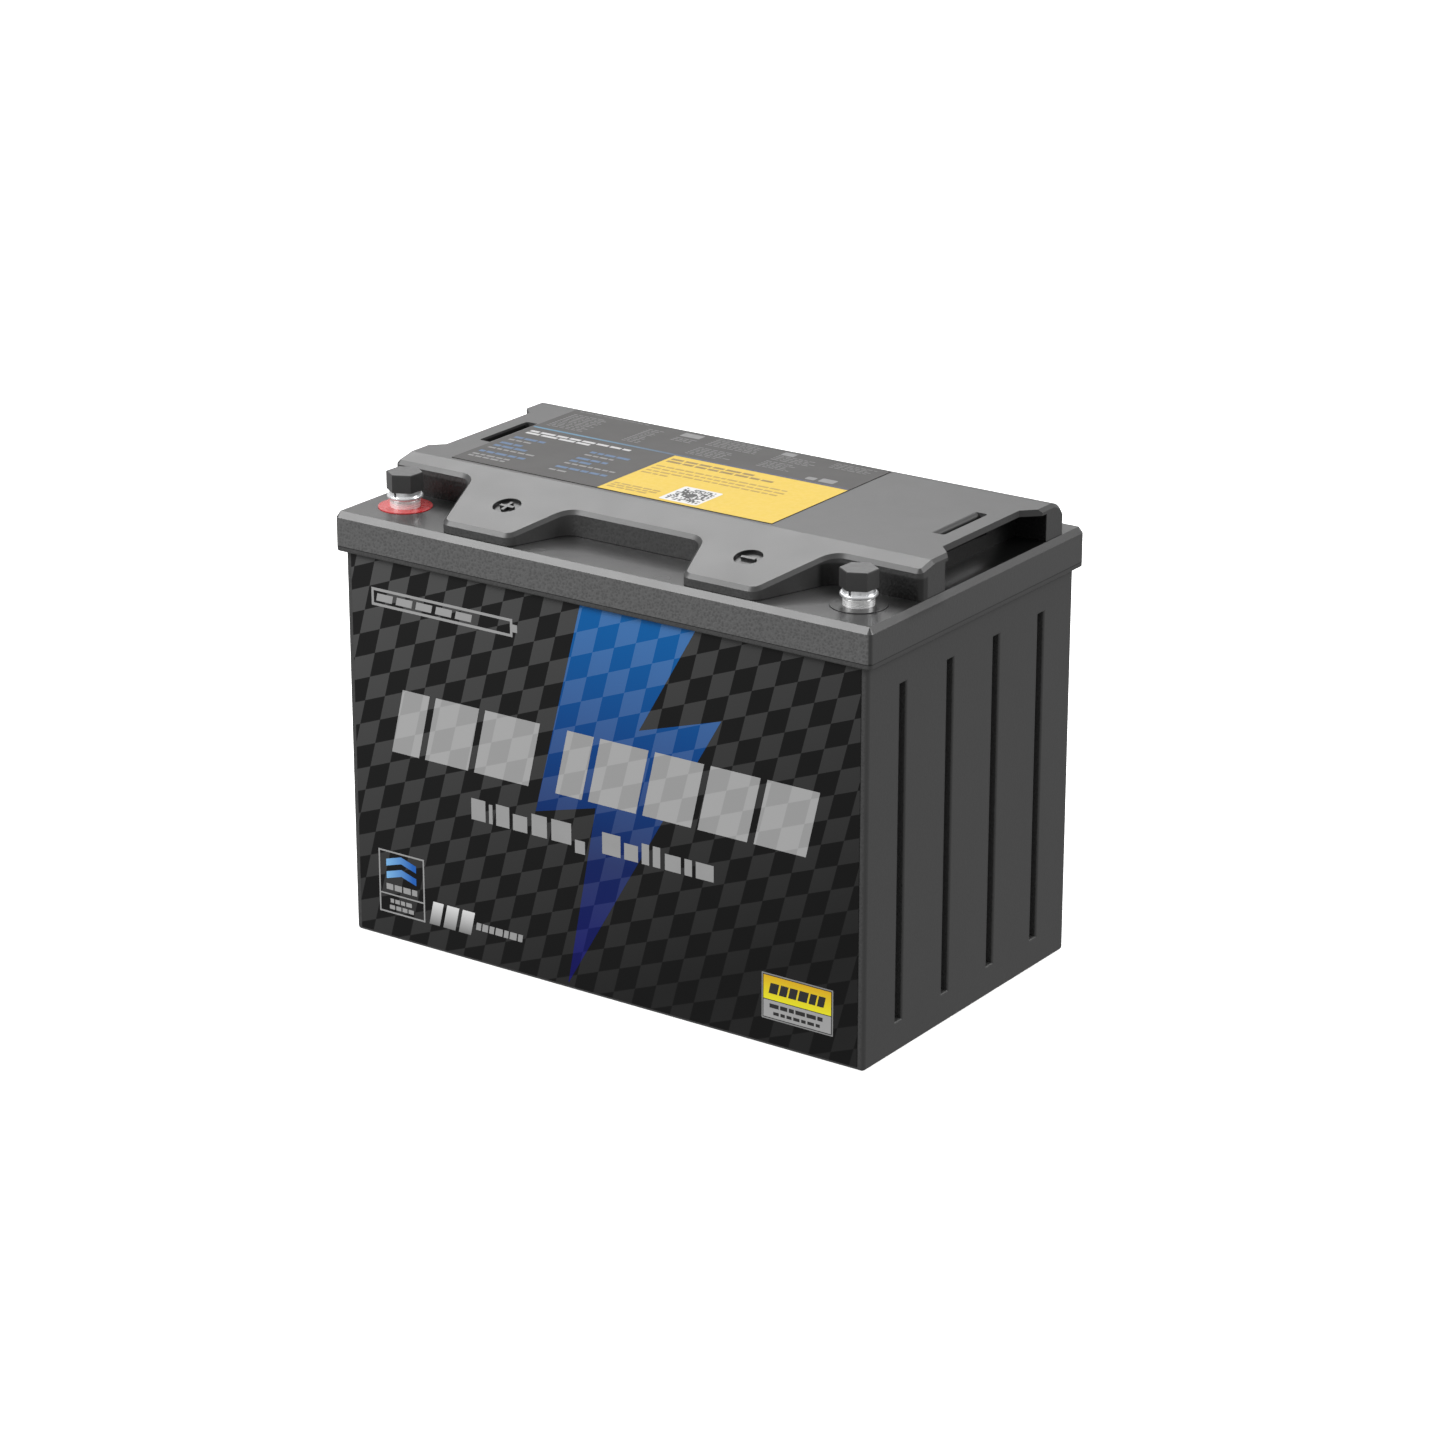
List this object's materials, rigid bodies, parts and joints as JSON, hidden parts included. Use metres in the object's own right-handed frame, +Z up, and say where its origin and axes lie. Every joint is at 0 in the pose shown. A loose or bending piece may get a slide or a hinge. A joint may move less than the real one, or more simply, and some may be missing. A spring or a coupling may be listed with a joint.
{
  "type": "lithium battery",
  "caption": "Box-shaped lithium battery with a chamfered lid, raised sloping deck, bolt terminals in corner bays, and prismatic cells and a protection board inside.",
  "frame": {"origin": "centre of the base, on the surface it stands on", "axes": "+X to the right along the length, towards the negative terminal; -Y towards the labelled front; +Z up"},
  "size_m": [0.2868, 0.173, 0.219],
  "materials": {
    "case_plastic": "moulded, fine grain",
    "lid_plastic": "moulded, leather grain",
    "deck_plastic": "moulded, smooth satin",
    "front_film": "printed film, satin",
    "top_film": "printed film, satin",
    "red_plastic": "moulded",
    "black_plastic": "moulded",
    "cap_plastic": "moulded, satin",
    "post_brass": "tin plated brass, turned",
    "steel": "zinc plated steel",
    "seal_rubber": "soft",
    "can_aluminium": "drawn aluminium",
    "roll_foil": "wound foils, wrapped",
    "pole_aluminium": "turned",
    "pole_copper": "nickel over copper",
    "vent_foil": "thin foil",
    "busbar_copper": "bare copper strip",
    "fibre_sheet": "glass fibre sheet",
    "plate_aluminium": "sheet",
    "band_steel": "strip",
    "pad_foam": "closed cell foam",
    "tray_plastic": "moulded",
    "board_green": "solder mask",
    "chip_black": "moulded package",
    "sink_aluminium": "extruded",
    "spacer_nylon": "nylon",
    "plug_white": "nylon",
    "red_sheath": "silicone sheath",
    "black_sheath": "silicone sheath",
    "wire_sheath": "thin sheath",
    "lug_copper": "tinned copper"
  },
  "bodies": {
    "battery": {"case": "case_plastic", "lid": "lid_plastic", "deck_cover": "deck_plastic", "front_label": "front_film", "top_label": "top_film", "positive_post": "post_brass", "positive_collar": "red_plastic", "negative_post": "post_brass", "negative_collar": "black_plastic", "collar_seals": "seal_rubber", "collar_lock_nuts": "black_plastic", "post_lug_screws": "steel", "cell_1_can": "can_aluminium", "cell_1_electrodes": "roll_foil", "cell_1_cover": "can_aluminium", "cell_2_can": "can_aluminium", "cell_2_electrodes": "roll_foil", "cell_2_cover": "can_aluminium", "cell_3_can": "can_aluminium", "cell_3_electrodes": "roll_foil", "cell_3_cover": "can_aluminium", "cell_4_can": "can_aluminium", "cell_4_electrodes": "roll_foil", "cell_4_cover": "can_aluminium", "cell_positive_poles": "pole_aluminium", "cell_negative_poles": "pole_copper", "cell_vent_discs": "vent_foil", "series_busbar_1": "busbar_copper", "series_busbar_2": "busbar_copper", "series_busbar_3": "busbar_copper", "cell_pole_nuts": "steel", "cell_separators": "fibre_sheet", "left_end_plate": "plate_aluminium", "left_end_foam": "pad_foam", "right_end_plate": "plate_aluminium", "right_end_foam": "pad_foam", "pack_straps": "band_steel", "base_pad": "pad_foam", "bms_tray": "tray_plastic", "bms_board": "board_green", "bms_transistors": "chip_black", "bms_heatsink": "sink_aluminium", "bms_spacers": "spacer_nylon", "bms_screws": "steel", "balance_plug": "plug_white", "top_foam": "pad_foam", "cable_lugs": "lug_copper", "positive_cable": "red_sheath", "negative_cable": "black_sheath", "pack_negative_cable": "black_sheath", "balance_leads": "wire_sheath"},
    "positive_bolt_turning": {"positive_bolt": "steel", "positive_bolt_cap": "cap_plastic"},
    "positive_washers_lifting": {"positive_flat_washer": "steel", "positive_spring_washer": "steel"},
    "negative_bolt_turning": {"negative_bolt": "steel", "negative_bolt_cap": "cap_plastic"},
    "negative_washers_lifting": {"negative_flat_washer": "steel", "negative_spring_washer": "steel"}
  },
  "joints": [
    {"name": "positive_bolt_lift", "type": "slide", "parent": "battery", "child": "positive_washers_lifting", "axis": [0, 0, 1], "range_m": [0, 0.0125]},
    {"name": "positive_bolt_turn", "type": "hinge", "parent": "positive_washers_lifting", "child": "positive_bolt_turning", "pos_m": [-0.1218, -0.0627, 0.2106], "axis": [0, 0, 1], "range_deg": [0, 3571.2]},
    {"name": "negative_bolt_lift", "type": "slide", "parent": "battery", "child": "negative_washers_lifting", "axis": [0, 0, 1], "range_m": [0, 0.0125]},
    {"name": "negative_bolt_turn", "type": "hinge", "parent": "negative_washers_lifting", "child": "negative_bolt_turning", "pos_m": [0.1218, -0.0627, 0.2106], "axis": [0, 0, 1], "range_deg": [0, 3571.2]}
  ],
  "couplings": [
    {"joint": "positive_bolt_lift", "follows": "positive_bolt_turn", "m_per_rad": 0.00019894},
    {"joint": "negative_bolt_lift", "follows": "negative_bolt_turn", "m_per_rad": 0.00019894}
  ]
}
